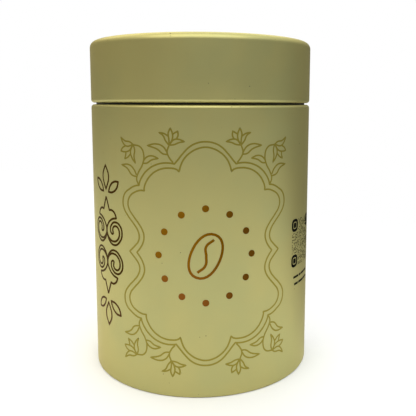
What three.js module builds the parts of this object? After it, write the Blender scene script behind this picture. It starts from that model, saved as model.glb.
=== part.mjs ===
// A round coffee tin with a flush slip lid, in millimetres, +Z up.
//
// The origin is the centre of the foot, on the surface that the tin stands on. Every piece is round about Z.
// A rolled wall carries a stamped base at its foot and a plain neck ring at its shoulder. A plug lid with a
// knob closes the neck, and the drawn outer lid slips over the neck until its liner rests on the plug's rim.
import * as THREE from "three";

// Driving dimensions.
const radius = 42.5; // outside of the wall and of the lid, which are flush
const height = 124.2; // foot to the top of the closed lid
const wallHeight = 100.8; // foot to the shoulder
const seamGap = 0.6; // open line between the shoulder and the lid's hem
const sheet = 0.3; // tinplate
const foldRadius = 0.4; // outside of a flat fold, or hem, in the sheet

// How finely the pieces are faceted.
const turnSteps = 40;
const smallTurnSteps = 20;
const arcSteps = 2; // each arc becomes twice as many edges
const tiny = 1e-3;

// Places that several pieces share.
const wallInside = radius - sheet;
const lipRadius = 1.2; // round of the shoulder and of the lid's hem
const lipReturn = 1.6; // how far both turn back behind their round
const cornerRadius = 2.5; // the lid's top edge
const neckOutside = 40.6;
const neckTop = 120.2;
const neckHemInside = neckOutside - 2 * foldRadius;
const footHemInside = 39.9; // the wall's hem under the base
const lidFoot = wallHeight + seamGap;
const lidUnderside = height - sheet;
const lidPanelSink = 0.5; // the lid's centre panel is pressed in this far
const plugFace = 38.6; // outside of the plug's wall
const plugFloor = 107; // underside of the plug's panel
const fit = 0.1; // air between pieces that are pressed or crimped together
const plugRimTop = neckTop + fit + 2 * foldRadius;
const rivetShank = 1.6; // radius
const knobFoot = plugFloor + sheet + fit;
const knobHeight = 7.5;
const knobBoreDepth = 5;

const half = Math.PI / 2;

const finishes = {
  paint: { color: 0xa8a468, roughness: 0.38, metalness: 0.7 },
  tinplate: { color: 0xc9c8c2, roughness: 0.28, metalness: 1 },
  darkLacquer: { color: 0x2b2926, roughness: 0.4, metalness: 0.4 },
  aluminium: { color: 0xb9babc, roughness: 0.35, metalness: 1 },
  liner: { color: 0xe9e6dc, roughness: 0.9, metalness: 0 },
  seal: { color: 0xd8d6cc, roughness: 0.6, metalness: 0 },
  compound: { color: 0x6f6a5e, roughness: 0.8, metalness: 0 },
};

// A closed outline of (radius, height) points, revolved about Z.
function turned(outline, steps = turnSteps) {
  const startsOnAxis = outline[0].x === 0;
  const points = startsOnAxis ? outline : [...outline, outline[0]];
  return new THREE.LatheGeometry(points, steps).rotateX(half);
}

// The points of a path, with those that coincide left out.
function pointsOf(path) {
  return path
    .getPoints(arcSteps)
    .filter((p, i, all) => i === 0 || p.distanceTo(all[i - 1]) > tiny);
}

// A pressed or rolled sheet. The path is one face of it, and the metal lies on the path's left.
function pressed(path) {
  const face = pointsOf(path);
  const leftOf = (a, b) => new THREE.Vector2(a.y - b.y, b.x - a.x).normalize();
  const back = face.map((p, i) => {
    const before = i > 0 ? leftOf(face[i - 1], p) : leftOf(p, face[i + 1]);
    const after = i < face.length - 1 ? leftOf(p, face[i + 1]) : before;
    const middle = before.clone().add(after).normalize();
    return p.clone().addScaledVector(middle, sheet / middle.dot(before));
  });
  return turned([...face, ...back.reverse()]);
}

function solidOutline(...corners) {
  return corners.map(([r, z]) => new THREE.Vector2(r, z));
}

// The rolled wall: a hem under the base at its foot, and a rounded shoulder that turns back inside.
function bodyWall() {
  const footRadius = 0.5;
  const hemHeight = 1.6;
  const shoulderInside = neckOutside + fit;
  return pressed(
    new THREE.Path()
      .moveTo(footHemInside, hemHeight)
      .absarc(footHemInside + foldRadius, foldRadius, foldRadius, Math.PI, 3 * half)
      .absarc(radius - footRadius, footRadius, footRadius, -half, 0)
      .absarc(radius - lipRadius, wallHeight - lipRadius, lipRadius, 0, half)
      .absarc(shoulderInside + foldRadius, wallHeight - foldRadius, foldRadius, half, Math.PI)
      .lineTo(shoulderInside, wallHeight - lipReturn),
  );
}

// The stamped base: a stepped panel with a skirt that stands in the wall's hem.
function baseEnd() {
  const skirtInside = wallInside - fit - sheet;
  const skirtFoot = sheet + fit;
  const outerPanel = 3;
  const innerPanel = 3.6;
  const stepStart = 31;
  const stepEnd = 32;
  const bend = 0.7;
  return pressed(
    new THREE.Path()
      .moveTo(0, innerPanel)
      .lineTo(stepStart, innerPanel)
      .lineTo(stepEnd, outerPanel)
      .absarc(skirtInside - bend, outerPanel - bend, bend, half, 0, true)
      .lineTo(skirtInside, skirtFoot),
  );
}

// The ring of sealing compound that fills the hem between the wall's lip and the base's skirt.
function baseSeal() {
  const inside = footHemInside + sheet + fit;
  const outside = wallInside - fit - sheet - fit;
  const low = sheet + fit;
  const high = 1.3;
  return turned(
    solidOutline([inside, low], [outside, low], [outside, high], [inside, high]),
  );
}

// The neck ring: a flared foot and a bead hold it in the wall, and its rim is hemmed inwards.
function neckRing() {
  const foot = 86;
  const flareOutside = wallInside - fit;
  const flareTop = foot + 2;
  const neckFoot = foot + 4.5;
  const beadOutside = 41.6;
  const beadMiddle = 97;
  const beadTop = 0.5; // half the height of the bead's flat
  const beadRoot = 1.5; // and of its root
  const hemLength = 1.9;
  return pressed(
    new THREE.Path()
      .moveTo(flareOutside, foot)
      .lineTo(flareOutside, flareTop)
      .lineTo(neckOutside, neckFoot)
      .lineTo(neckOutside, beadMiddle - beadRoot)
      .lineTo(beadOutside, beadMiddle - beadTop)
      .lineTo(beadOutside, beadMiddle + beadTop)
      .lineTo(neckOutside, beadMiddle + beadRoot)
      .absarc(neckOutside - foldRadius, neckTop - foldRadius, foldRadius, 0, Math.PI)
      .lineTo(neckHemInside, neckTop - hemLength),
  );
}

// The plug lid's dish: a hole for the rivet, a flat panel, a wall, and a rim that is hemmed upwards.
function innerLidPlate() {
  const bend = 1;
  const rimUnderside = neckTop + fit;
  const rimFold = neckOutside - foldRadius;
  const rimHem = 0.8; // length of the hem's flat
  return pressed(
    new THREE.Path()
      .moveTo(rivetShank + fit, plugFloor)
      .absarc(plugFace - bend, plugFloor + bend, bend, -half, 0)
      .absarc(plugFace + foldRadius, rimUnderside - foldRadius, foldRadius, Math.PI, half, true)
      .absarc(rimFold, rimUnderside + foldRadius, foldRadius, -half, half)
      .lineTo(rimFold - rimHem, plugRimTop),
  );
}

// The plug's soft ring, with two fins that wipe the inside of the neck.
function innerLidSeal() {
  const inside = plugFace + fit;
  const band = 39.3;
  const finTip = neckHemInside - fit;
  const foot = 112;
  const top = 116.6;
  const finInset = 1; // from each end of the band to the fin's middle
  const finRise = 0.4;
  const fin = (z) => [[band, z - finRise], [finTip, z], [band, z + finRise]];
  return turned(
    solidOutline(
      [inside, foot],
      [band, foot],
      ...fin(foot + finInset),
      ...fin(top - finInset),
      [band, top],
      [inside, top],
    ),
  );
}

// The turned knob in the middle of the plug, with a blind bore for its rivet.
function innerLidKnob() {
  const footRadius = 5;
  const footEdge = knobFoot + 0.8;
  const waist = 3.4; // radius
  const waistFoot = knobFoot + 2;
  const waistTop = knobFoot + 3.4;
  const head = 7; // radius
  const top = knobFoot + knobHeight;
  const headFoot = top - 2.4;
  const headTop = top - 1;
  const crown = 5.2; // radius
  const crownFoot = top - 0.2;
  const bore = rivetShank + fit;
  return turned(
    solidOutline(
      [0, knobFoot + knobBoreDepth],
      [bore, knobFoot + knobBoreDepth],
      [bore, knobFoot],
      [footRadius, knobFoot],
      [footRadius, footEdge],
      [waist, waistFoot],
      [waist, waistTop],
      [head, headFoot],
      [head, headTop],
      [crown, crownFoot],
      [0, top],
    ),
    smallTurnSteps,
  );
}

// The rivet that holds the knob: its head is under the panel.
function knobRivet() {
  const head = 3.4; // radius
  const headTop = plugFloor - fit;
  const headFoot = headTop - 1.1;
  const chamferAcross = 0.8;
  const chamferUp = 0.5;
  const top = knobFoot + knobBoreDepth - fit;
  return turned(
    solidOutline(
      [0, headFoot],
      [head - chamferAcross, headFoot],
      [head, headFoot + chamferUp],
      [head, headTop],
      [rivetShank, headTop],
      [rivetShank, top],
      [0, top],
    ),
    smallTurnSteps,
  );
}

// The lid's liner: a flat disc that bears on the plug's rim.
function lidLiner() {
  const outside = 41.2;
  const low = plugRimTop + 2 * fit;
  const high = lidUnderside - lidPanelSink - fit;
  return turned(solidOutline([0, low], [outside, low], [outside, high], [0, high]));
}

// The drawn outer lid: a hem that is rolled inwards, a skirt, a rounded edge and a sunk panel.
function lidShell() {
  const hemInside = neckOutside + 0.25; // slides over the neck
  const panelEdge = 35.2;
  const panelRise = 0.8;
  return pressed(
    new THREE.Path()
      .moveTo(hemInside, lidFoot + lipReturn)
      .absarc(hemInside + foldRadius, lidFoot + foldRadius, foldRadius, Math.PI, 3 * half)
      .absarc(radius - lipRadius, lidFoot + lipRadius, lipRadius, -half, 0)
      .absarc(radius - cornerRadius, height - cornerRadius, cornerRadius, 0, half)
      .lineTo(panelEdge + panelRise, height)
      .lineTo(panelEdge, height - lidPanelSink)
      .lineTo(0, height - lidPanelSink),
  );
}

const pieces = [
  ["body_wall", bodyWall, "paint"],
  ["base_end", baseEnd, "tinplate"],
  ["base_seal", baseSeal, "compound"],
  ["neck_ring", neckRing, "darkLacquer"],
  ["inner_lid_plate", innerLidPlate, "tinplate"],
  ["inner_lid_seal", innerLidSeal, "seal"],
  ["inner_lid_knob", innerLidKnob, "aluminium"],
  ["knob_rivet", knobRivet, "aluminium"],
  ["lid_liner", lidLiner, "liner"],
  ["lid_shell", lidShell, "paint"],
];

const tin = new THREE.Group();
for (const [name, shape, finish] of pieces) {
  const mesh = new THREE.Mesh(shape(), new THREE.MeshStandardMaterial(finishes[finish]));
  mesh.name = name;
  tin.add(mesh);
}

export default tin;
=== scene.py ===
"""The looks of a printed coffee tin: a Blender add-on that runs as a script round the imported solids."""
import math
import random

import bpy
from bpy.props import FloatProperty, FloatVectorProperty, IntProperty, PointerProperty
from mathutils import Matrix, Vector


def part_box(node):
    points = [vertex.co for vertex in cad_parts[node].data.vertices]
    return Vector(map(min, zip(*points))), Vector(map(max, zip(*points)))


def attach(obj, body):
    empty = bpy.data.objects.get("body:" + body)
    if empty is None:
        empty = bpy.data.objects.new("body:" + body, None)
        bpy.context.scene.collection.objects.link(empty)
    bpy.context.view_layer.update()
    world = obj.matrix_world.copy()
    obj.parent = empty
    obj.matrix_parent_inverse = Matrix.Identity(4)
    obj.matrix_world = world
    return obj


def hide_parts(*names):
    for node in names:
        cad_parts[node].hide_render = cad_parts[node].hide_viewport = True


bl_info = {
    "name": "Printed coffee tin",
    "version": (1, 0, 0),
    "blender": (4, 5, 0),
    "location": "View3D > Sidebar > Coffee tin",
    "description": "Builds a printed coffee tin with a slip lid and a plug lid, piece by piece",
    "category": "Object",
}

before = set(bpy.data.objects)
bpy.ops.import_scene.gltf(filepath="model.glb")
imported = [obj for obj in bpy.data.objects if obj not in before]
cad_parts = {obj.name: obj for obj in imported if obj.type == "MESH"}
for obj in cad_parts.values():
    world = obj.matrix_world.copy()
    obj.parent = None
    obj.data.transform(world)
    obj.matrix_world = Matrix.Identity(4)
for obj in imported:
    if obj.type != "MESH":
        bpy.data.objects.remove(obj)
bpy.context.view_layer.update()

MM = 0.001
DEGREES = math.pi / 180
CUSP = True  # the third item of a drawn point that is a corner
WARM_EDGE = (1.0, 0.90, 0.66)  # tints what the lacquer and the inks reflect at a grazing angle
DARK_CORNER = (0.64, 0.77)  # where the room is dark: right and behind, as parts along X and Y
SMALL_FACETS = 96  # steps in one turn of the knob and the rivet

# Places round the wall, in millimetres from the front towards the right
PANEL_MIDDLE = 45.15
SCROLL_MIDDLE = -41
SEAM_MIDDLE = 70

wall_low, wall_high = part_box("body_wall")
neck_low, neck_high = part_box("neck_ring")
base_low, base_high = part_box("base_end")
plate_low, plate_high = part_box("inner_lid_plate")
seal_low, seal_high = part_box("inner_lid_seal")
knob_low, knob_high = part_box("inner_lid_knob")
rivet_low, rivet_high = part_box("knob_rivet")
wad_low, wad_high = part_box("lid_liner")
lid_low, lid_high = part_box("lid_shell")


# ------------------------ settings


class TinSizes(bpy.types.PropertyGroup):
    """Sizes that the solids leave open, in metres."""

    sheet: FloatProperty(
        name="Sheet", description="Thickness of the tinplate",
        default=0.3 * MM, min=0.1 * MM, unit="LENGTH", precision=5,
    )
    ink: FloatProperty(
        name="Ink", description="How far the printed films stand proud of the lacquer",
        default=0.03 * MM, min=0.005 * MM, unit="LENGTH", precision=6,
    )
    fold: FloatProperty(
        name="Fold", description="Outside radius of a hem in the sheet",
        default=0.4 * MM, min=0.31 * MM, unit="LENGTH", precision=5,
    )
    shoulder: FloatProperty(
        name="Shoulder", description="Radius of the wall's shoulder and of the lid's hem",
        default=1.2 * MM, min=0.5 * MM, unit="LENGTH", precision=5,
    )
    lid_edge: FloatProperty(
        name="Lid edge", description="Radius of the lid's top edge",
        default=2.5 * MM, min=0.5 * MM, unit="LENGTH", precision=5,
    )
    facets: IntProperty(
        name="Facets", description="Steps in one turn of the large round pieces",
        default=256, min=32, max=512,
    )


class TinColours(bpy.types.PropertyGroup):
    """Colours of the lacquer, the inks and the linings, as linear red, green and blue."""

    lacquer: FloatVectorProperty(
        name="Lacquer", description="The pale olive-gold of the wall and the lid",
        subtype="COLOR", size=3, min=0, max=1, default=(0.485, 0.446, 0.18),
    )
    lacquer_shade: FloatVectorProperty(
        name="Lacquer shade", description="The greener tone that the lacquer drifts to",
        subtype="COLOR", size=3, min=0, max=1, default=(0.455, 0.436, 0.185),
    )
    olive_ink: FloatVectorProperty(
        name="Olive ink", description="The lines of the frame and the sprigs",
        subtype="COLOR", size=3, min=0, max=1, default=(0.25, 0.21, 0.040),
    )
    copper_ink: FloatVectorProperty(
        name="Copper ink", description="The dots and the bean",
        subtype="COLOR", size=3, min=0, max=1, default=(0.20, 0.088, 0.003),
    )
    brown_ink: FloatVectorProperty(
        name="Brown ink", description="The scrolls at the sides",
        subtype="COLOR", size=3, min=0, max=1, default=(0.048, 0.023, 0.002),
    )
    black_ink: FloatVectorProperty(
        name="Black ink", description="The dotted panel and the dashes below it",
        subtype="COLOR", size=3, min=0, max=1, default=(0.004, 0.004, 0.003),
    )


# ------------------------ materials


class Wire:
    """A shader socket that takes part in Python expressions on values."""

    def __init__(self, finish, socket):
        self.finish = finish
        self.socket = socket

    def __add__(self, other):
        return self.finish.maths("ADD", self, other)

    def __radd__(self, other):
        return self.finish.maths("ADD", other, self)

    def __sub__(self, other):
        return self.finish.maths("SUBTRACT", self, other)

    def __rsub__(self, other):
        return self.finish.maths("SUBTRACT", other, self)

    def __mul__(self, other):
        return self.finish.maths("MULTIPLY", self, other)

    def __rmul__(self, other):
        return self.finish.maths("MULTIPLY", other, self)

    def __truediv__(self, other):
        return self.finish.maths("DIVIDE", self, other)

    def __gt__(self, other):
        return self.finish.maths("GREATER_THAN", self, other)

    def __lt__(self, other):
        return self.finish.maths("LESS_THAN", self, other)


class NodeSheet:
    """An empty node tree, of a material or of the world, whose nodes are added one by one."""

    def __init__(self, owner, coordinates):
        owner.use_nodes = True
        self.nodes = owner.node_tree.nodes
        self.links = owner.node_tree.links
        self.nodes.clear()
        self.place = self.node("ShaderNodeTexCoord", output=coordinates)

    def feed(self, socket, value):
        """Links a wire to a socket, or sets a number or a colour on it."""
        if isinstance(value, Wire):
            self.links.new(value.socket, socket)
        elif isinstance(value, (tuple, list)) and len(value) == 3 and socket.type == "RGBA":
            socket.default_value = (*value, 1)
        else:
            socket.default_value = value

    def node(self, kind, settings=None, output=0, **inputs):
        """Adds a node: its settings first, then the values or wires of its sockets by name or number."""
        made = self.nodes.new(kind)
        for name, value in (settings or {}).items():
            setattr(made, name, value)
        for name, value in inputs.items():
            key = int(name[1:]) if name[0] == "n" and name[1:].isdigit() else name.replace("_", " ")
            self.feed(made.inputs[key], value)
        return None if output is None else Wire(self, made.outputs[output])

    def maths(self, operation, first, second=0.0):
        """One Math node on numbers or wires."""
        return self.node("ShaderNodeMath", {"operation": operation}, n0=first, n1=second)

    def step(self, value, low, high):
        """0 below low, 1 above high, and smooth between them."""
        return self.node(
            "ShaderNodeMapRange", {"interpolation_type": "SMOOTHSTEP"},
            Value=value, From_Min=low, From_Max=high,
        )

    def axis(self, name):
        """One part of the coordinates: X, Y or Z."""
        return self.node("ShaderNodeSeparateXYZ", output=name, Vector=self.place)

    def blend(self, factor, first, second):
        """Mixes two colours."""
        return self.node("ShaderNodeMix", {"data_type": "RGBA"}, output=2, n0=factor, n6=first, n7=second)


class Finish(NodeSheet):
    """A material of one Principled shader. Its nodes read the object's own coordinates, in metres."""

    def __init__(self, name):
        self.material = bpy.data.materials.new(name)
        super().__init__(self.material, "Object")
        self.shader = self.nodes.new("ShaderNodeBsdfPrincipled")
        output = self.nodes.new("ShaderNodeOutputMaterial")
        self.links.new(self.shader.outputs["BSDF"], output.inputs["Surface"])

    def stretched(self, *scale):
        """The object's own coordinates, scaled along each axis."""
        return self.node("ShaderNodeMapping", Vector=self.place, Scale=scale)

    def noise(self, scale, detail=2.0, roughness=0.5, where=None):
        """Cloudy noise between 0 and 1. The scale is lumps in a metre."""
        return self.node(
            "ShaderNodeTexNoise", Vector=where or self.place,
            Scale=scale, Detail=detail, Roughness=roughness,
        )

    def cells(self, scale, output, feature="F1", **inputs):
        """A pattern of cells: the distance to the middle of the nearest, or its colour."""
        return self.node(
            "ShaderNodeTexVoronoi", {"feature": feature}, output=output,
            Vector=self.place, Scale=scale, **inputs,
        )

    def cell_tone(self, scale):
        """A chance number for each cell, between 0 and 1."""
        return self.node("ShaderNodeSeparateColor", output="Red", Color=self.cells(scale, "Color"))

    def off_axis(self):
        """The distance from the tin's axis."""
        x, y = self.axis("X"), self.axis("Y")
        return self.maths("SQRT", x * x + y * y)

    def dents(self, height, depth):
        """A bump of so many metres for a height of one."""
        return self.node("ShaderNodeBump", Height=height, Distance=depth, Strength=1.0)

    def surface(self, **inputs):
        """Sets or links the Principled shader's sockets, and gives the finished material."""
        for name, value in inputs.items():
            self.feed(self.shader.inputs[name.replace("_", " ")], value)
        return self.material


def specks(finish, scale, share):
    """Small round spots: 1 inside a spot and 0 elsewhere. Only the given share of the cells holds one."""
    near = finish.cells(scale, "Distance")
    chosen = finish.cell_tone(scale) < share
    return chosen * (1 - finish.step(near, 0.10, 0.22))


def scratches(finish, along, across, threshold):
    """Fine hairs that run round the tin."""
    hairs = finish.noise(1.0, 3.0, 0.6, finish.stretched(along, along, across))
    return finish.step(hairs, threshold, threshold + 0.04)


def upright_stripe(finish, turned, half_width):
    """1 in a stripe up the outside of the tin, at an angle from its front, and 0 elsewhere."""
    soft = 0.1 * MM
    x, y = finish.axis("X"), finish.axis("Y")
    aside = finish.maths("ABSOLUTE", x * math.cos(turned) + y * math.sin(turned))
    on_that_side = x * math.sin(turned) - y * math.cos(turned) > 0
    return on_that_side * (1 - finish.step(aside, half_width - soft, half_width + soft))


def worn_edges(finish, heights, radius):
    """Chips in a lacquer that come only near some heights, and only outside a radius."""
    near = 0
    for height in heights:
        away = finish.maths("ABSOLUTE", finish.axis("Z") - height)
        near = near + (1 - finish.step(away, 0.3 * MM, 1.4 * MM))
    chips = finish.step(finish.noise(950, 3, 0.6), 0.70, 0.73)
    return chips * near * finish.step(finish.off_axis(), radius, radius + 0.5 * MM)


def lacquer(name, colours, worn_heights, worn_outside, seam_at=None):
    """Satin metallic lacquer, cloudy in tone, with dust specks, and chips at its worn edges.

    Along a seam there is a stripe of clear repair lacquer, warmer and smoother than the rest.
    """
    finish = Finish(name)
    clouds = finish.noise(38, 3, 0.55)
    drift = finish.step(clouds, 0.36, 0.66)
    base = finish.blend(drift, tuple(colours.lacquer), tuple(colours.lacquer_shade))
    grain = finish.noise(5200, 2, 0.6)
    base = finish.blend(0.10 * grain, base, (0.20, 0.18, 0.08))
    dust = specks(finish, 950, 0.0045)
    chips = worn_edges(finish, worn_heights, worn_outside)
    base = finish.blend(0.9 * dust, base, (0.05, 0.045, 0.03))
    base = finish.blend(0.8 * chips, base, (0.06, 0.05, 0.03))
    smears = finish.noise(70, 4, 0.6)
    hairs = scratches(finish, 60, 2600, 0.70)
    peel = finish.noise(1500, 2, 0.5)
    relief = 0.5 * peel + 0.6 * grain - 0.5 * hairs - 0.6 * chips
    stripe = 0
    if seam_at is not None:
        stripe = upright_stripe(finish, seam_at, 1.6 * MM)
        base = finish.blend(0.7 * stripe, base, (0.40, 0.33, 0.14))
        relief = relief + 3.0 * stripe
    return finish.surface(
        Base_Color=base,
        Metallic=0.82 - 0.5 * dust,
        Specular_Tint=WARM_EDGE,
        Roughness=0.40 + 0.10 * (smears - 0.5) + 0.25 * dust + 0.2 * chips - 0.05 * stripe,
        Normal=finish.dents(relief, 0.004 * MM),
    )


def dark_lacquer(name):
    """Satin near-black lacquer, rubbed brown in hairs where the lid slides over it. The near-black is
    partly painted shade, standing in for the shadow in the gap under the lid.
    """
    finish = Finish(name)
    clouds = finish.noise(120, 3, 0.6)
    hairs = scratches(finish, 40, 2200, 0.64)
    base = finish.blend(clouds, (0.020, 0.018, 0.015), (0.032, 0.028, 0.022))
    base = finish.blend(0.6 * hairs, base, (0.10, 0.085, 0.05))
    peel = finish.noise(1800, 2, 0.5)
    return finish.surface(
        Base_Color=base,
        Metallic=0.3,
        Roughness=0.42 + 0.15 * clouds,
        Normal=finish.dents(peel - 0.5 * hairs, 0.003 * MM),
    )


def tinplate(name, colour, rough):
    """Bright rolled tinplate: straight mill grain, faint blotches and a few short scratches."""
    finish = Finish(name)
    grain = finish.noise(1.0, 3, 0.6, finish.stretched(90, 5200, 5200))
    blotches = finish.noise(85, 3, 0.6)
    tone = finish.cell_tone(420)
    dull = tuple(0.78 * c for c in colour)
    base = finish.blend(0.55 * blotches + 0.25 * tone, colour, dull)
    hairs = scratches(finish, 200, 1800, 0.71)
    relief = 0.8 * grain + 0.15 * tone - 0.6 * hairs
    return finish.surface(
        Base_Color=base,
        Metallic=1.0,
        Roughness=rough + 0.14 * (grain - 0.5) + 0.10 * blotches,
        Normal=finish.dents(relief, 0.003 * MM),
    )


def turned_metal(name, colour):
    """Satin aluminium with the fine rings that a lathe leaves."""
    finish = Finish(name)
    reach = finish.off_axis() + 0.35 * finish.axis("Z")
    wobble = finish.noise(300, 2, 0.5)
    rings = finish.maths("SINE", reach * 26000 + 6.0 * wobble)
    fine = finish.noise(2600, 2, 0.6)
    base = finish.blend(0.25 * fine, colour, tuple(0.82 * c for c in colour))
    return finish.surface(
        Base_Color=base,
        Metallic=1.0,
        Roughness=0.30 + 0.08 * (fine - 0.5) + 0.03 * rings,
        Normal=finish.dents(0.5 * rings + 0.4 * fine, 0.004 * MM),
    )


def silicone(name, colour):
    """Matte silicone rubber with a little cloudiness and dust."""
    finish = Finish(name)
    clouds = finish.noise(240, 3, 0.6)
    dust = specks(finish, 700, 0.10)
    base = finish.blend(0.5 * clouds, colour, tuple(0.85 * c for c in colour))
    base = finish.blend(0.3 * dust, base, (0.35, 0.33, 0.28))
    return finish.surface(
        Base_Color=base,
        Roughness=0.55 + 0.15 * clouds,
        Normal=finish.dents(finish.noise(2400, 3, 0.6), 0.01 * MM),
    )


def foam(name, colour):
    """Closed-cell foam: small dimples in an off-white sheet."""
    finish = Finish(name)
    cells = finish.cells(1500, "Distance", "SMOOTH_F1", Smoothness=0.4)
    clouds = finish.noise(60, 3, 0.6)
    base = finish.blend(0.35 * clouds + 0.2 * cells, colour, tuple(0.8 * c for c in colour))
    return finish.surface(
        Base_Color=base,
        Roughness=0.85,
        Normal=finish.dents(cells, 0.12 * MM),
    )


def rubber_compound(name):
    """Poured sealing compound: dark, slightly uneven and dull."""
    finish = Finish(name)
    lumps = finish.noise(700, 3, 0.6)
    base = finish.blend(lumps, (0.05, 0.045, 0.035), (0.09, 0.08, 0.065))
    return finish.surface(
        Base_Color=base,
        Roughness=0.6 + 0.2 * lumps,
        Normal=finish.dents(lumps, 0.05 * MM),
    )


def ink(name, colour, metallic, rough, shine, drifts=()):
    """A printed film, slightly uneven in density.

    A drift is an axis, where a change of colour starts and ends on it, and the colour at its end.
    """
    finish = Finish(name)
    density = finish.noise(900, 3, 0.6)
    patches = finish.noise(60, 2, 0.5)
    paler = tuple(1.3 * c for c in colour)
    base = finish.blend(0.5 * density + 0.3 * patches, tuple(colour), paler)
    for axis, start, end, other in drifts:
        base = finish.blend(finish.step(finish.axis(axis), start, end), base, other)
    return finish.surface(
        Base_Color=base,
        Metallic=metallic,
        Roughness=rough + 0.12 * (density - 0.5),
        Specular_IOR_Level=shine,
        Specular_Tint=WARM_EDGE,
        Normal=finish.dents(density, 0.002 * MM),
    )


def paper_floor(name):
    """White paper that fades out, sooner in the dark corner. It is clear from below and under the tin."""
    finish = Finish(name)
    mottle = finish.noise(25, 3, 0.5)
    base = finish.blend(mottle, (0.91, 0.92, 0.95), (0.89, 0.90, 0.93))
    reach = finish.off_axis()
    towards = finish.axis("X") * DARK_CORNER[0] + finish.axis("Y") * DARK_CORNER[1]
    cut = finish.step(towards / reach, 0.35, 1.0)
    fade_start, fade_end = 0.25 - 0.27 * cut, 0.80 - 0.48 * cut
    near = 1 - finish.step(reach, fade_start, fade_end)
    near = near * (1 - 0.55 * cut) * (1 - 0.13 * finish.step(reach, 0.05, 0.20))
    foot = base_high.x - 2.1 * MM
    beside_tin = finish.step(reach, foot - MM, foot + MM)
    from_above = 1 - finish.node("ShaderNodeNewGeometry", output="Backfacing")
    return finish.surface(Base_Color=base, Roughness=0.9, Alpha=near * beside_tin * from_above)


# ------------------------ turned pieces


def arc(centre_r, centre_z, radius, start, end, steps=8):
    """The points of a round stretch of an outline, between two angles in degrees."""
    angles = [start + (end - start) * i / steps for i in range(steps + 1)]
    return [
        (centre_r + radius * math.cos(a * DEGREES), centre_z + radius * math.sin(a * DEGREES))
        for a in angles
    ]


def straight(start, end, pieces):
    """The points between two ends of a straight stretch, without the ends."""
    return [
        tuple(a + (b - a) * i / pieces for a, b in zip(start, end))
        for i in range(1, pieces)
    ]


def hump(i, steps):
    """How high a smooth wave stands at one of its steps: 0 at both ends and 1 half way."""
    return (1 - math.cos(2 * math.pi * i / steps)) / 2


def wave(start_r, end_r, height, rise, steps=10):
    """A ring pressed in a flat panel between two radii: up by its rise, or down if it is negative."""
    return [
        (start_r + (end_r - start_r) * i / steps, height + rise * hump(i, steps))
        for i in range(steps + 1)
    ]


def swell(radius, middle, half_height, rise, steps=12):
    """A bead rolled outwards in a wall, going up."""
    return [
        (radius + rise * hump(i, steps), middle + half_height * (2 * i / steps - 1))
        for i in range(steps + 1)
    ]


def s_bend(start, end, steps=8):
    """A smooth step between two radii, going up, without its first point."""
    (start_r, start_z), (end_r, end_z) = start, end
    return [
        (start_r + (end_r - start_r) * hump(i, 2 * steps), start_z + (end_z - start_z) * i / steps)
        for i in range(1, steps + 1)
    ]


def only(piece):
    """Makes one object the only selected and active one."""
    bpy.ops.object.select_all(action="DESELECT")
    piece.select_set(True)
    bpy.context.view_layer.objects.active = piece


def turn(name, outline, steps, *materials):
    """Extrudes an outline of (radius, height) points one by one, and spins it about the tin's axis."""
    bpy.ops.object.select_all(action="DESELECT")
    bpy.ops.mesh.primitive_circle_add(vertices=3, radius=MM, location=(0, 0, 0))
    piece = bpy.context.active_object
    piece.name = name
    bpy.ops.object.mode_set(mode="EDIT")
    bpy.ops.mesh.merge(type="CENTER")
    (last_r, last_z), *rest = outline
    bpy.ops.transform.translate(value=(last_r, 0, last_z))
    for r, z in rest:
        step = (r - last_r, 0, z - last_z)
        bpy.ops.mesh.extrude_vertices_move(TRANSFORM_OT_translate={"value": step})
        last_r, last_z = r, z
    bpy.ops.mesh.select_all(action="SELECT")
    bpy.ops.mesh.spin(steps=steps, angle=2 * math.pi, center=(0, 0, 0), axis=(0, 0, 1))
    bpy.ops.mesh.select_all(action="SELECT")
    bpy.ops.mesh.remove_doubles(threshold=0.001 * MM)
    bpy.ops.mesh.normals_make_consistent(inside=False)
    bpy.ops.object.mode_set(mode="OBJECT")
    for material in materials:
        piece.data.materials.append(material)
    return piece


def modifier(piece, kind, **settings):
    """Adds a modifier with its settings and applies it."""
    only(piece)
    bpy.ops.object.modifier_add(type=kind)
    added = piece.modifiers[-1]
    for name, value in settings.items():
        setattr(added, name, value)
    bpy.ops.object.modifier_apply(modifier=added.name)


def bent_sheet(name, outline, *materials):
    """Turns the outer face of a sheet piece, and gives it the sheet's thickness on its inner side.

    The inner face takes the second material, where there is one.
    """
    sizes = bpy.context.scene.tin_sizes
    piece = turn(name, outline, sizes.facets, *materials)
    modifier(
        piece, "SOLIDIFY", thickness=sizes.sheet, offset=-1, use_even_offset=True,
        use_rim=True, material_offset=1, material_offset_rim=1,
    )
    smooth(piece)
    return piece


def smooth(piece, angle=32):
    """Shades a piece smooth, but for edges sharper than so many degrees."""
    only(piece)
    bpy.ops.object.shade_smooth_by_angle(angle=angle * DEGREES)


def settle(piece, body, slot, *nodes):
    """Gives a piece its body and hides the solids that it stands for. Its slot in the record is not used.
    """
    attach(piece, body)
    if nodes:
        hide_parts(*nodes)


# ------------------------ the print


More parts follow.
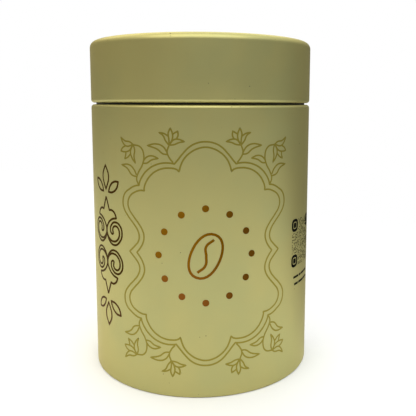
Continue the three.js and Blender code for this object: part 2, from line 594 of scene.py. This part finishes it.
class Drawing:
    """Flat art in millimetres about its own middle: x runs round the tin and y up it."""

    def __init__(self, name, line_width=None):
        """With a line width, the splines are drawn as ribbons of ink. Without one, they are filled."""
        sizes = bpy.context.scene.tin_sizes
        self.depth = 2 * sizes.ink
        self.curve = bpy.data.curves.new(name, "CURVE")
        self.curve.resolution_u = 8
        self.art = bpy.data.objects.new(name, self.curve)
        bpy.context.scene.collection.objects.link(self.art)
        self.nib = None
        if line_width:
            self.curve.dimensions = "3D"
            self.curve.twist_mode = "Z_UP"
            self.curve.bevel_mode = "OBJECT"
            self.curve.use_fill_caps = True
            self.nib = self.make_nib(line_width * MM, self.depth)
            self.curve.bevel_object = self.nib
        else:
            self.curve.dimensions = "2D"
            self.curve.fill_mode = "BOTH"
            self.curve.extrude = self.depth / 2

    @staticmethod
    def make_nib(width, depth):
        """The flat rectangle that is swept along each line."""
        outline = bpy.data.curves.new("nib", "CURVE")
        spline = outline.splines.new("POLY")
        spline.points.add(3)
        corners = ((1, 1), (-1, 1), (-1, -1), (1, -1))
        for point, (x, y) in zip(spline.points, corners):
            point.co = (x * width / 2, y * depth / 2, 0, 1)
        spline.use_cyclic_u = True
        nib = bpy.data.objects.new("nib", outline)
        bpy.context.scene.collection.objects.link(nib)
        return nib

    def line(self, points, is_closed=False):
        """A smooth line through the points. A point with a third item is a corner."""
        spline = self.curve.splines.new("BEZIER")
        spline.bezier_points.add(len(points) - 1)
        for knot, (x, y, *corner) in zip(spline.bezier_points, points):
            knot.co = (x * MM, y * MM, 0)
            kind = "VECTOR" if corner else "AUTO"
            knot.handle_left_type = kind
            knot.handle_right_type = kind
        spline.use_cyclic_u = is_closed

    def ring(self, x, y, radius):
        """A round line, or a round dot in a filled drawing."""
        self.line([(x + radius, y), (x, y + radius), (x - radius, y), (x, y - radius)], True)

    def wrap(self, turned, height):
        """Makes the drawing a mesh, bends it round the wall, and turns it to its place."""
        radius = wall_high.x - self.depth / 2
        art = self.art
        only(art)
        bpy.ops.object.convert(target="MESH")
        bpy.ops.object.mode_set(mode="EDIT")
        bpy.ops.mesh.select_all(action="SELECT")
        bpy.ops.mesh.remove_doubles(threshold=0.0005 * MM)
        bpy.ops.mesh.normals_make_consistent(inside=False)
        bpy.ops.object.mode_set(mode="OBJECT")
        art.rotation_euler = (math.pi / 2, 0, 0)
        bpy.ops.object.transform_apply(location=False, rotation=True, scale=False)
        across = art.dimensions.x / radius
        modifier(art, "SIMPLE_DEFORM", deform_method="BEND", deform_axis="Z", angle=across)
        art.data.transform(Matrix.Rotation(turned, 4, "Z") @ Matrix.Translation((0, -radius, height)))
        if self.nib:
            bpy.data.objects.remove(self.nib)
        smooth(art, 40)
        return art


def mirrored(points, across, up):
    """Points reflected left to right where across is -1, and top to bottom where up is -1."""
    return [(across * x, up * y, *corner) for x, y, *corner in points]


def moved(points, up):
    """Points moved up, or down where up is negative."""
    return [(x, y + up, *corner) for x, y, *corner in points]


def four_fold(quarter):
    """A closed outline from its upper right quarter, which runs from the top to the right-hand side."""
    lower = mirrored(quarter[:-1], 1, -1)[::-1]
    right = [*quarter, *lower]
    left = mirrored(right[1:-1], -1, 1)[::-1]
    return [*right, *left]


# These drawings are in millimetres from their own middle, and hold only the part that repeats.

EVERY_QUARTER = [(1, 1), (-1, 1), (1, -1), (-1, -1)]  # right or left, and top or bottom

FRAME_OUTER = [
    (0, 38.5), (2.7, 38.1), (5.1, 36.9), (7.5, 34.5), (9.2, 32.4), (10.3, 31.1, CUSP),
    *arc(12.8, 20.2, 11.2, 97, 22, 5), (23.4, 23.4, CUSP),
    (24.8, 23.2), (27.5, 21.9), (29.9, 20.0), (30.8, 17.3), (30.4, 15.0), (28.6, 12.5), (26.1, 10.0),
    (24.4, 7.9), (23.7, 5.6), (24.2, 3.8), (25.4, 2.4), (28.0, 0, CUSP),
]
FRAME_INNER = [
    (0, 36.7), (2.6, 36.2), (5.0, 34.9), (7.0, 32.9), (8.1, 30.8), (8.75, 28.6, CUSP),
    *arc(12.3, 20.4, 9.3, 107, 13, 6), (21.3, 21.7, CUSP),
    (22.9, 21.7), (25.1, 21.0), (27.4, 19.4), (28.4, 17.1), (28.0, 15.0), (26.1, 12.6), (23.7, 10.0),
    (22.2, 7.7), (21.75, 5.6), (22.4, 3.2), (23.4, 1.6), (24.8, 0, CUSP),
]

UPRIGHT_SPRIG = [
    [(10.7, 31.5), (12.0, 33.1), (12.75, 35.0), (12.1, 37.2)],
    [(12.0, 37.3, CUSP), (10.3, 37.5), (8.6, 38.2), (6.9, 38.5, CUSP), (8.6, 39.2), (10.4, 39.1),
     (12.0, 37.3, CUSP)],
    [(9.6, 39.3, CUSP), (9.0, 40.5), (9.1, 41.9, CUSP), (10.0, 41.4), (10.8, 40.9, CUSP)],
    [(12.0, 37.3, CUSP), (10.9, 39.4), (10.9, 41.2), (11.6, 42.9, CUSP), (12.3, 41.2), (12.1, 39.2),
     (12.0, 37.3, CUSP)],
    [(12.1, 37.3, CUSP), (13.3, 38.8), (14.1, 40.4), (15.5, 41.4, CUSP), (13.8, 41.1),
     (12.4, 40.3, CUSP)],
    [(12.7, 34.8, CUSP), (14.2, 36.8), (16.5, 37.6), (19.9, 37.0, CUSP), (16.3, 35.9), (14.2, 34.4),
     (12.7, 34.2, CUSP)],
]
NODDING_SPRIG = [
    [(23.6, 23.6), (24.35, 25.4), (23.6, 27.7), (21.9, 30.5), (21.3, 33.6), (22.5, 36.3), (25.6, 37.1)],
    [(25.6, 37.1, CUSP), (27.0, 37.95), (29.2, 38.25), (31.2, 39.4, CUSP), (30.3, 37.7), (28.7, 36.5),
     (25.6, 37.1, CUSP)],
    [(29.2, 36.5, CUSP), (30.5, 35.8), (31.3, 34.7, CUSP), (29.6, 34.5), (27.4, 35.0),
     (25.8, 36.9, CUSP)],
    [(28.9, 34.6, CUSP), (29.0, 33.6), (29.5, 32.1, CUSP), (28.1, 32.7), (26.9, 33.8, CUSP)],
    [(25.6, 37.1, CUSP), (25.0, 35.4), (25.3, 33.1), (24.8, 30.9, CUSP), (26.2, 32.6), (26.8, 34.7),
     (25.8, 36.9, CUSP)],
    [(21.4, 31.9, CUSP), (20.2, 33.1), (18.3, 33.6), (15.9, 32.8, CUSP), (18.4, 32.2), (20.2, 31.1),
     (21.7, 31.0, CUSP)],
    [(24.4, 26.9, CUSP), (25.6, 28.9), (27.6, 30.2), (31.1, 30.0, CUSP), (28.4, 28.9), (26.4, 26.8),
     (24.4, 26.3, CUSP)],
]

SCROLL_INNER_EDGE = [
    (0, 17.8, CUSP), (1.2, 15.2), (2.1, 13.1, CUSP), (3.6, 13.3), (5.4, 12.4), (6.4, 10.7, CUSP),
    (3.6, 10.0), (1.1, 8.1), (0.1, 5.6), (1.6, 3.0), (4.6, 2.1), (7.0, 3.2), (7.9, 5.4), (7.2, 7.3),
    (5.7, 7.8), (4.2, 6.9), (4.4, 4.8),
]
SCROLL_OUTER_EDGE = [
    (0.1, 4.3), (1.4, 2.3), (4.8, 0.8), (8.1, 2.6), (9.3, 5.7), (8.2, 8.3), (5.8, 9.2), (3.4, 8.1),
    (2.5, 6.1), (3.2, 4.9), (4.4, 4.8),
]
SCROLL_DROP = 0.35  # how much further from the middle the lower half of a scroll is than the upper
LEAF_DROP = 0.9  # the same for its leaves
SCROLL_TOP_LEAF = [(0, 20.4, CUSP), (2.1, 25.2), (0, 29.2, CUSP), (-2.1, 25.2)]
SCROLL_SIDE_LEAF = [
    (1.8, 19.6, CUSP), (4.7, 19.9), (7.0, 21.6), (7.8, 23.8, CUSP), (5.4, 23.6), (3.0, 21.9),
]


def draw_frame(name):
    """Two thin lines, one inside the other."""
    drawing = Drawing(name, line_width=0.60)
    for quarter in (FRAME_OUTER, FRAME_INNER):
        drawing.line(four_fold(quarter), True)
    return drawing


def draw_sprigs(name):
    """Two sprigs with leaves in each corner of the frame."""
    drawing = Drawing(name, line_width=0.56)
    for across, up in EVERY_QUARTER:
        for stroke in (*UPRIGHT_SPRIG, *NODDING_SPRIG):
            drawing.line(mirrored(stroke, across, up))
    return drawing


def draw_dots(name):
    """A ring of round dots."""
    drawing = Drawing(name)
    ring_radius, dot_radius, dots = 16.25, 1.2, 12
    for i in range(dots):
        angle = 2 * math.pi * i / dots
        drawing.ring(ring_radius * math.cos(angle), ring_radius * math.sin(angle), dot_radius)
    return drawing


def draw_bean(name):
    """A leaning coffee bean: an oval with a crease."""
    drawing = Drawing(name, line_width=0.92)
    lean = 24 * DEGREES
    oval = [(0, 8.0), (5.0, 0.6), (0, -8.0), (-5.0, -0.6)]
    crease = [(0.3, 6.3), (-1.2, 3.0), (0.2, 0), (1.2, -3.0), (-0.3, -6.3)]
    for points, is_closed in ((oval, True), (crease, False)):
        leaning = [
            (x * math.cos(lean) + y * math.sin(lean), y * math.cos(lean) - x * math.sin(lean))
            for x, y in points
        ]
        drawing.line(leaning, is_closed)
    return drawing


def draw_scroll(name):
    """Curled scrolls with leaves above and below, which fill the gap beside a frame."""
    drawing = Drawing(name, line_width=0.78)
    for across, up in EVERY_QUARTER:
        drop, leaf_drop = (0, 0) if up > 0 else (SCROLL_DROP, LEAF_DROP)
        drawing.line(moved(mirrored(SCROLL_INNER_EDGE, across, up), -drop))
        drawing.line(moved(mirrored(SCROLL_OUTER_EDGE, across, up), -drop))
        drawing.line(moved(mirrored(SCROLL_SIDE_LEAF, across, up), -leaf_drop), True)
    drawing.line(SCROLL_TOP_LEAF, True)
    drawing.line(moved(mirrored(SCROLL_TOP_LEAF, 1, -1), -LEAF_DROP), True)
    return drawing


def rounded_box(x, y, half, corner):
    """The closed outline of a square with round corners, with points along its sides so that it bends."""
    points = []
    for quarter, (side, up) in enumerate(((1, 1), (-1, 1), (-1, -1), (1, -1))):
        start = 90 * quarter
        centre = (x + side * (half - corner), y + up * (half - corner))
        bow = arc(*centre, corner, start, start + 90, 2)
        points += bow if not points else [*straight(points[-1], bow[0], 3), *bow]
    return [*points, *straight(points[-1], points[0], 3)]


CODE_CELLS = 29  # along each side of the dotted panel
CODE_PITCH = 0.61  # from one cell to the next
CODE_MARK = 7  # cells along each side of a corner mark
CODE_EYE = (CODE_CELLS - CODE_MARK) / 2 * CODE_PITCH  # from the panel's middle to a mark's
CODE_EYES = [(-CODE_EYE, CODE_EYE), (-CODE_EYE, -CODE_EYE), (CODE_EYE, CODE_EYE)]


def draw_code_marks(name):
    """The plain square rings in three corners of the dotted panel."""
    drawing = Drawing(name, line_width=1.05)
    for x, y in CODE_EYES:
        drawing.line(rounded_box(x, y, (CODE_MARK - 1) / 2 * CODE_PITCH, 1.2), True)
    return drawing


def draw_code_dots(name):
    """The squares inside the corner marks, and dots at random, which encode nothing."""
    drawing = Drawing(name)
    for x, y in CODE_EYES:
        drawing.line(rounded_box(x, y, 1.55 * CODE_PITCH, 0.4), True)
    draws = random.Random(7)
    filled_share, dot_radius = 0.46, 0.22
    middle = (CODE_CELLS - 1) / 2
    clear = (CODE_MARK / 2 + 1) * CODE_PITCH
    for row in range(CODE_CELLS):
        for column in range(CODE_CELLS):
            x, y = (column - middle) * CODE_PITCH, (row - middle) * CODE_PITCH
            near_mark = any(max(abs(x - a), abs(y - b)) < clear for a, b in CODE_EYES)
            if draws.random() < filled_share and not near_mark:
                drawing.ring(x, y, dot_radius)
    drawing.curve.resolution_u = 2
    return drawing


DASHED_LINES = [  # a height, and each bar's start and end
    (-13.0, [(-7.3, -3.1), (-2.5, -0.6), (-0.1, 3.1), (3.6, 7.0)]),
    (-15.7, [(-6.6, -3.4), (-2.8, 2.6), (3.1, 7.3)]),
]


def draw_dashes(name):
    """Plain bars where small print would be."""
    drawing = Drawing(name, line_width=0.85)
    for y, bars in DASHED_LINES:
        for start, end in bars:
            drawing.line([(start, y), ((start + end) / 2, y), (end, y)])
    return drawing


def draw_weld(name, length):
    """The two edges of the overlapped and welded side seam."""
    drawing = Drawing(name, line_width=0.14)
    overlap = 0.9
    for x in (-overlap / 2, overlap / 2):
        drawing.line([(x, -length / 2), (x, length / 2)])
    return drawing


def round_by(millimetres):
    """The angle that a distance round the wall takes, from the front towards the right."""
    return millimetres * MM / wall_high.x


def print_on_wall(drawing, turned, height, material):
    """Wraps a drawing on the wall, and lets it ride on the tin."""
    piece = drawing.wrap(turned, height)
    piece.data.materials.append(material)
    settle(piece, "tin", "printed_tinplate")


# ------------------------ operators


class PieceOperator:
    """What every operator here shares: it runs in object mode only."""

    @classmethod
    def poll(cls, context):
        return context.mode == "OBJECT"


class TIN_OT_wall(PieceOperator, bpy.types.Operator):
    """Build the rolled wall with its shoulder, its foot hem and its welded side seam"""

    bl_idname = "tin.wall"
    bl_label = "Wall"

    def execute(self, context):
        sizes = context.scene.tin_sizes
        outside = wall_high.x - sizes.ink
        hem_inside = hem_inner_edge()
        foot = 0.5 * MM  # the radius at the wall's foot
        lip = 1.6 * MM
        shoulder_inside = neck_outside() + 0.1 * MM
        top = wall_high.z
        outline = [
            (hem_inside, lip),
            *arc(hem_inside + sizes.fold, sizes.fold, sizes.fold, 180, 270, 6),
            *arc(outside - foot, foot, foot, 270, 360, 6),
            *straight((outside, foot), (outside, top - sizes.shoulder), 12),
            *arc(outside - sizes.shoulder, top - sizes.shoulder, sizes.shoulder, 0, 90, 12),
            *arc(shoulder_inside + sizes.fold, top - sizes.fold, sizes.fold, 90, 180, 6),
            (shoulder_inside, top - lip),
        ]
        seam = round_by(SEAM_MIDDLE)
        worn_heights = (wall_low.z + MM, top - 0.6 * MM)
        worn_radius = wall_high.x - 2.5 * MM
        outer = lacquer("wall_lacquer", context.scene.tin_colours, worn_heights, worn_radius, seam)
        inner = tinplate("wall_inside", (0.72, 0.69, 0.60), 0.30)
        piece = bent_sheet("wall", outline, outer, inner)
        settle(piece, "tin", "printed_tinplate", "body_wall")
        edge = ink("weld_edge", (0.16, 0.13, 0.06), metallic=0.8, rough=0.42, shine=0.3)
        low, high = foot + 0.1 * MM, top - sizes.shoulder - 0.1 * MM
        print_on_wall(draw_weld("weld_edges", (high - low) / MM), seam, (low + high) / 2, edge)
        return {"FINISHED"}


def neck_outside():
    """The radius of the neck's straight part, inside the flare at its foot."""
    return neck_high.x - 1.5 * MM


def hem_inner_edge():
    """The inner edge of the hem at the wall's foot."""
    return base_high.x - 2.2 * MM


class TIN_OT_base(PieceOperator, bpy.types.Operator):
    """Build the stamped base with its steps, and give the compound ring its finish"""

    bl_idname = "tin.base"
    bl_label = "Base"

    def execute(self, context):
        outside = base_high.x
        top = base_high.z
        bend = 1.0 * MM
        rise = 0.6 * MM  # of the panel above the ring round it, and the radius of both its bends
        edge = top - rise
        step_foot, step_head = 32.6 * MM, 31.4 * MM
        groove_outside, groove_inside, groove_depth = 21.6 * MM, 18.4 * MM, 0.5 * MM
        outline = [
            (outside, base_low.z),
            *arc(outside - bend, edge - bend, bend, 0, 90, 8),
            (step_foot + rise, edge),
            *arc(step_foot, edge + rise, rise, 270, 225, 4),
            *arc(step_head, top - rise, rise, 45, 90, 4),
            *straight((step_head, top), (groove_outside, top), 4),
            *wave(groove_outside, groove_inside, top, -groove_depth),
            *straight((groove_inside, top), (0, top), 6),
            (0, top),
        ]
        piece = bent_sheet("base", outline, tinplate("base_tinplate", (0.72, 0.71, 0.68), 0.27))
        settle(piece, "tin", "bare_tinplate", "base_end")
        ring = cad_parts["base_seal"]
        ring.data.materials.clear()
        ring.data.materials.append(rubber_compound("sealing_compound"))
        return {"FINISHED"}


class TIN_OT_neck(PieceOperator, bpy.types.Operator):
    """Build the neck ring with its flared foot, its bead and its hem"""

    bl_idname = "tin.neck"
    bl_label = "Neck ring"

    def execute(self, context):
        sizes = context.scene.tin_sizes
        outside = neck_outside()
        flare = neck_high.x
        foot, top = neck_low.z, neck_high.z
        flare_end, neck_start = foot + 1.8 * MM, foot + 4.6 * MM
        bead, bead_half, bead_rise = foot + 11 * MM, 1.6 * MM, 1.0 * MM
        hem_depth = 1.9 * MM
        outline = [
            (flare, foot),
            (flare, flare_end),
            *s_bend((flare, flare_end), (outside, neck_start)),
            *straight((outside, neck_start), (outside, bead - bead_half), 3),
            *swell(outside, bead, bead_half, bead_rise),
            *straight((outside, bead + bead_half), (outside, top - sizes.fold), 5),
            *arc(outside - sizes.fold, top - sizes.fold, sizes.fold, 0, 180, 12),
            (outside - 2 * sizes.fold, top - hem_depth),
        ]
        inner = tinplate("neck_inside", (0.72, 0.70, 0.62), 0.28)
        # The near-black of the neck's lacquer is partly painted shade for the gap under the lid.
        piece = bent_sheet("neck", outline, dark_lacquer("neck_lacquer_and_painted_shade"), inner)
        settle(piece, "tin", "dark_lacquer", "neck_ring")
        return {"FINISHED"}


class TIN_OT_plug(PieceOperator, bpy.types.Operator):
    """Build the plug lid: its plate, soft ring, knob and rivet"""

    bl_idname = "tin.plug"
    bl_label = "Plug lid"

    def execute(self, context):
        sizes = context.scene.tin_sizes
        self.plate(sizes)
        self.seal(sizes)
        self.knob()
        self.rivet()
        return {"FINISHED"}

    def plate(self, sizes):
        """The dished plate, with two pressed rings and a hemmed rim."""
        floor = plate_low.z
        face = seal_face()
        rim = plate_high.x
        top = plate_high.z
        fold = sizes.fold
        bend = 1.0 * MM
        rim_under = top - 2 * fold
        rim_hem = 0.8 * MM
        inner_ring, outer_ring = (11.2 * MM, 14.8 * MM), (23.6 * MM, 28.4 * MM)
        outline = [
            (rivet_hole(), floor),
            (9 * MM, floor),
            *wave(*inner_ring, floor, 0.7 * MM),
            *wave(*outer_ring, floor, 0.9 * MM),
            *arc(face - bend, floor + bend, bend, 270, 360, 8),
            *straight((face, floor + bend), (face, rim_under - fold), 4),
            *arc(face + fold, rim_under - fold, fold, 180, 90, 6),
            *arc(rim - fold, rim_under + fold, fold, -90, 90, 12),
            (rim - fold - rim_hem, top),
        ]
        piece = bent_sheet("plug_plate", outline, tinplate("plug_tinplate", (0.74, 0.73, 0.70), 0.24))
        settle(piece, "inner_lid", "bare_tinplate", "inner_lid_plate")

    def seal(self, sizes):
        """The soft ring round the plate's wall, with three wiping lips."""
        inside = seal_face() + 0.1 * MM
        tip = seal_high.x
        band = tip - 0.4 * MM
        foot, top = seal_low.z, seal_high.z
        corner = 0.15 * MM
        outline = [
            (inside, foot),
            *arc(band - corner, foot + corner, corner, 270, 360, 3),
            *fin(band, tip, foot + 1.0 * MM),
            *fin(band, tip, (foot + top) / 2),
            *fin(band, tip, top - 1.0 * MM),
            *arc(band - corner, top - corner, corner, 0, 90, 3),
            (inside, top),
            (inside, foot),
        ]
        piece = turn("plug_seal", outline, sizes.facets, silicone("seal_silicone", (0.78, 0.76, 0.70)))
        smooth(piece, 50)
        settle(piece, "inner_lid", "seal_rubber", "inner_lid_seal")

    def knob(self):
        """The turned knob: a waist between foot and head, and a fine ring cut in the head's dome."""
        foot, top = knob_low.z, knob_high.z
        head = knob_high.x
        bore, bore_depth = rivet_hole(), 5 * MM
        base, base_height, base_bend = 5 * MM, 0.8 * MM, 0.2 * MM
        waist = 3.5 * MM
        lower_hollow, upper_hollow = 1.6 * MM, 2.0 * MM
        under_bend, over_bend = 0.5 * MM, 0.7 * MM
        cut, cut_depth, cut_half = 5.05 * MM, 0.46 * MM, 0.15 * MM
        outline = [
            (0, foot + bore_depth),
            (bore, foot + bore_depth),
            (bore, foot),
            *arc(base - base_bend, foot + base_bend, base_bend, 270, 360, 3),
            (base, foot + base_height),
            *arc(waist + lower_hollow, foot + 2.4 * MM, lower_hollow, 266, 180, 8),
            *arc(waist + upper_hollow, foot + 3.1 * MM, upper_hollow, 180, 112, 6),
            *arc(head - under_bend, top - 2.4 * MM, under_bend, 280, 360, 5),
            *arc(head - over_bend, top - 1.3 * MM, over_bend, 0, 70, 6),
            (cut + 0.35 * MM, top - 0.32 * MM),
            (cut + cut_half, top - cut_depth),
            (cut - cut_half, top - cut_depth),
            (cut - 0.35 * MM, top - 0.28 * MM),
            (2.6 * MM, top - 0.1 * MM),
            (0, top),
        ]
        metal = turned_metal("knob_aluminium", (0.74, 0.75, 0.76))
        piece = turn("plug_knob", outline, SMALL_FACETS, metal)
        smooth(piece)
        settle(piece, "inner_lid", "turned_aluminium", "inner_lid_knob")

    def rivet(self):
        """The rivet, with its flat head below the plate and its shank in the knob."""
        foot, top = rivet_low.z, rivet_high.z
        head = rivet_high.x
        under = plate_low.z - 0.1 * MM
        shank = rivet_hole() - 0.1 * MM
        flat, crown = 1.6 * MM, 0.02 * MM
        bend, chamfer = 0.7 * MM, 0.3 * MM
        outline = [
            (0, foot),
            (flat, foot + crown),
            *arc(head - bend, foot + bend + crown, bend, -80, 0, 8),
            (head, under),
            (shank, under),
            (shank, top - chamfer),
            (shank - chamfer, top),
            (0, top),
        ]
        metal = turned_metal("rivet_aluminium", (0.70, 0.71, 0.72))
        piece = turn("plug_rivet", outline, SMALL_FACETS, metal)
        smooth(piece)
        settle(piece, "inner_lid", "turned_aluminium", "knob_rivet")


def seal_face():
    """The outside of the plug's wall, which the soft ring sits on."""
    return seal_high.x - 1.1 * MM


def rivet_hole():
    """The radius of the hole for the rivet, in the plate and in the knob."""
    return 1.7 * MM


def fin(band, tip, height):
    """A thin wiping lip with a round tip."""
    round_tip = 0.09 * MM
    return [
        (band, height - 0.4 * MM),
        *arc(tip - round_tip, height + 0.05 * MM, round_tip, -70, 70, 4),
        (band, height + 0.3 * MM),
    ]


class TIN_OT_wad(PieceOperator, bpy.types.Operator):
    """Build the foam wad that lines the lid"""

    bl_idname = "tin.wad"
    bl_label = "Lid wad"

    def execute(self, context):
        foot, top = wad_low.z, wad_high.z
        edge = wad_high.x
        soft = 0.45 * MM
        outline = [
            (0, foot),
            *straight((0, foot), (edge - soft, foot), 8),
            *arc(edge - soft, foot + soft, soft, 270, 360, 6),
            *arc(edge - soft, top - soft, soft, 0, 90, 6),
            *straight((edge - soft, top), (0, top), 8),
            (0, top),
        ]
        white_foam = foam("wad_foam", (0.84, 0.82, 0.75))
        piece = turn("lid_wad", outline, context.scene.tin_sizes.facets, white_foam)
        smooth(piece)
        settle(piece, "liner", "foam_liner", "lid_liner")
        return {"FINISHED"}


class TIN_OT_lid(PieceOperator, bpy.types.Operator):
    """Build the drawn outer lid with its rounded edge, sunk panel and rolled hem"""

    bl_idname = "tin.lid"
    bl_label = "Outer lid"

    def execute(self, context):
        sizes = context.scene.tin_sizes
        outside = lid_high.x
        foot, top = lid_low.z, lid_high.z
        hem_inside = neck_outside() + 0.25 * MM
        lip = 1.6 * MM
        round_edge = sizes.lid_edge
        sink = 0.5 * MM  # of the panel below the ring round it, and the radius of both its bends
        panel, ring = 35.1 * MM, 36.0 * MM
        outline = [
            (hem_inside, foot + lip),
            *arc(hem_inside + sizes.fold, foot + sizes.fold, sizes.fold, 180, 270, 6),
            *arc(outside - sizes.shoulder, foot + sizes.shoulder, sizes.shoulder, 270, 360, 12),
            *straight((outside, foot + sizes.shoulder), (outside, top - round_edge), 5),
            *arc(outside - round_edge, top - round_edge, round_edge, 0, 90, 18),
            *straight((outside - round_edge, top), (ring, top), 2),
            *arc(ring, top - sink, sink, 90, 150, 5),
            *arc(panel, top, sink, 330, 270, 5),
            *straight((panel, top - sink), (0, top - sink), 8),
            (0, top - sink),
        ]
        worn_heights = (foot + 0.8 * MM, top - MM)
        outer = lacquer("lid_lacquer", context.scene.tin_colours, worn_heights, outside - 2 * MM)
        inner = tinplate("lid_inside", (0.72, 0.70, 0.62), 0.28)
        piece = bent_sheet("lid", outline, outer, inner)
        settle(piece, "lid", "lacquered_tinplate", "lid_shell")
        return {"FINISHED"}


class TIN_OT_print(PieceOperator, bpy.types.Operator):
    """Print the frames, sprigs, dots, beans, scrolls, dotted panel and dashes on the wall"""

    bl_idname = "tin.print"
    bl_label = "Print"

    def execute(self, context):
        colours = context.scene.tin_colours
        middle = wall_high.z / 2 - 0.1 * MM
        redder_below = ("Z", middle + 4 * MM, middle - 17 * MM, (0.22, 0.075, 0.012))
        # Painted shade: the copper ink darkens towards the tin's right, where the room is dark.
        painted_shade_right = ("X", -8 * MM, 17 * MM, (0.105, 0.042, 0.002))
        brown_below = ("Z", middle - 8 * MM, middle - 28 * MM, (0.090, 0.038, 0.012))
        olive = ink("olive_ink", colours.olive_ink, metallic=0.85, rough=0.42, shine=0.3)
        copper = ink(
            "copper_ink", colours.copper_ink, metallic=0.9, rough=0.34, shine=0.3,
            drifts=[redder_below, painted_shade_right],
        )
        brown = ink(
            "brown_ink", colours.brown_ink, metallic=0.2, rough=0.42, shine=0.02, drifts=[brown_below],
        )
        black = ink("black_ink", colours.black_ink, metallic=0.0, rough=0.5, shine=0.01)
        for side, turned in (("front", 0), ("back", math.pi)):
            for draw, name, colour in (
                (draw_frame, "frame", olive), (draw_sprigs, "sprigs", olive),
                (draw_dots, "dots", copper), (draw_bean, "bean", copper),
            ):
                print_on_wall(draw(f"{name}_{side}"), turned, middle, colour)
            beside = turned + round_by(SCROLL_MIDDLE)
            print_on_wall(draw_scroll(f"scroll_{side}"), beside, middle, brown)
        for draw, name in ((draw_code_marks, "marks"), (draw_code_dots, "dots"), (draw_dashes, "dashes")):
            print_on_wall(draw(f"panel_{name}"), round_by(PANEL_MIDDLE), middle, black)
        return {"FINISHED"}


class TIN_OT_stage(PieceOperator, bpy.types.Operator):
    """Lay the pale floor, and set the soft lights and the camera"""

    bl_idname = "tin.stage"
    bl_label = "Stage"

    def execute(self, context):
        self.floor()
        self.sky(context.scene)
        self.lights()
        self.camera(context.scene)
        return {"FINISHED"}

    def floor(self):
        """A large sheet of paper just below the tin's foot."""
        bpy.ops.object.select_all(action="DESELECT")
        bpy.ops.mesh.primitive_plane_add(size=6, location=(0, 0, -0.1 * MM))
        floor = bpy.context.active_object
        floor.name = "floor"
        floor.data.materials.append(paper_floor("paper"))

    def sky(self, scene):
        """A dim room with a bright ceiling and a dark corner. The camera itself sees plain white."""
        world = bpy.data.worlds.new("studio")
        sky = NodeSheet(world, "Generated")
        right, back, up = sky.axis("X"), sky.axis("Y"), sky.axis("Z")
        behind = sky.step(back, -0.9, 0.1)
        below = 1 - sky.step(up, -0.05, 0.03)
        low_wall, ceiling = sky.step(up, 0.0, 0.2), sky.step(up, 0.25, 0.8)
        room = 0.19 + 0.13 * behind + 0.07 * below + 0.05 * low_wall + ceiling
        corner = sky.step(right * DARK_CORNER[0] + back * DARK_CORNER[1], 0.35, 1.0)
        room = room * (1 - 0.45 * corner * (1 - sky.step(up, 0.1, 0.5)))
        tone = sky.blend(sky.step(right, -0.7, 0.3), (1, 0.93, 0.78), (0.98, 1, 0.96))
        felt = sky.node("ShaderNodeBackground", Color=tone, Strength=room)
        seen = sky.node("ShaderNodeBackground", Color=(1, 1, 1), Strength=1.0)
        camera_ray = sky.node("ShaderNodeLightPath", output="Is Camera Ray")
        both = sky.node("ShaderNodeMixShader", n0=camera_ray, n1=felt, n2=seen)
        sky.node("ShaderNodeOutputWorld", output=None, Surface=both)
        scene.world = world
        scene.view_settings.view_transform = "Standard"

    def lights(self):
        """Two wide softboxes above, aimed at the tin's middle."""
        aim = Vector((0, 0, 0.07))
        for name, place, size, power in (
            ("softbox_front", (-0.05, -0.50, 0.80), (1.4, 0.7), 4.0),
            ("softbox_back", (-0.10, 0.60, 0.75), (1.2, 0.5), 2.0),
        ):
            lamp = bpy.data.lights.new(name, "AREA")
            lamp.shape = "RECTANGLE"
            lamp.size, lamp.size_y = size
            lamp.energy = power
            holder = bpy.data.objects.new(name, lamp)
            holder.location = place
            holder.rotation_euler = (aim - Vector(place)).to_track_quat("-Z", "Y").to_euler()
            bpy.context.scene.collection.objects.link(holder)

    def camera(self, scene):
        """A camera in front of the tin, level with the lid's lower edge, looking a little down."""
        lens = bpy.data.cameras.new("camera")
        lens.lens = 49.7
        lens.sensor_width = 36
        lens.shift_x = -0.0497
        lens.shift_y = -0.0734
        lens.clip_start = 0.01
        holder = bpy.data.objects.new("camera", lens)
        place = (-7.22 * MM, -230.15 * MM, 101.39 * MM)
        pan, tilt, roll = -4.53, 82.61, 0.16
        holder.matrix_world = (
            Matrix.Translation(place)
            @ Matrix.Rotation(pan * DEGREES, 4, "Z")
            @ Matrix.Rotation(tilt * DEGREES, 4, "X")
            @ Matrix.Rotation(roll * DEGREES, 4, "Z")
        )
        scene.collection.objects.link(holder)
        scene.camera = holder


OPERATORS = (
    TIN_OT_stage, TIN_OT_wall, TIN_OT_base, TIN_OT_neck,
    TIN_OT_plug, TIN_OT_wad, TIN_OT_lid, TIN_OT_print,
)


class TIN_PT_panel(bpy.types.Panel):
    """The tin's sizes and colours, and a button for each operator"""

    bl_idname = "TIN_PT_panel"
    bl_label = "Coffee tin"
    bl_space_type = "VIEW_3D"
    bl_region_type = "UI"
    bl_category = "Coffee tin"

    def draw(self, context):
        layout = self.layout
        for group in (context.scene.tin_sizes, context.scene.tin_colours):
            column = layout.column(align=True)
            for name in group.__annotations__:
                column.prop(group, name)
        for operator in OPERATORS:
            layout.operator(operator.bl_idname)


CLASSES = (TinSizes, TinColours, *OPERATORS, TIN_PT_panel)


def register():
    """Makes the classes and the settings known to Blender."""
    for each in CLASSES:
        bpy.utils.register_class(each)
    bpy.types.Scene.tin_sizes = PointerProperty(type=TinSizes)
    bpy.types.Scene.tin_colours = PointerProperty(type=TinColours)


def unregister():
    """Undoes register."""
    del bpy.types.Scene.tin_colours
    del bpy.types.Scene.tin_sizes
    for each in reversed(CLASSES):
        bpy.utils.unregister_class(each)


def main():
    """Builds everything in order."""
    register()
    for build in (
        bpy.ops.tin.stage, bpy.ops.tin.wall, bpy.ops.tin.base, bpy.ops.tin.neck,
        bpy.ops.tin.plug, bpy.ops.tin.wad, bpy.ops.tin.lid, bpy.ops.tin.print,
    ):
        build()


if __name__ == "__main__":
    main()
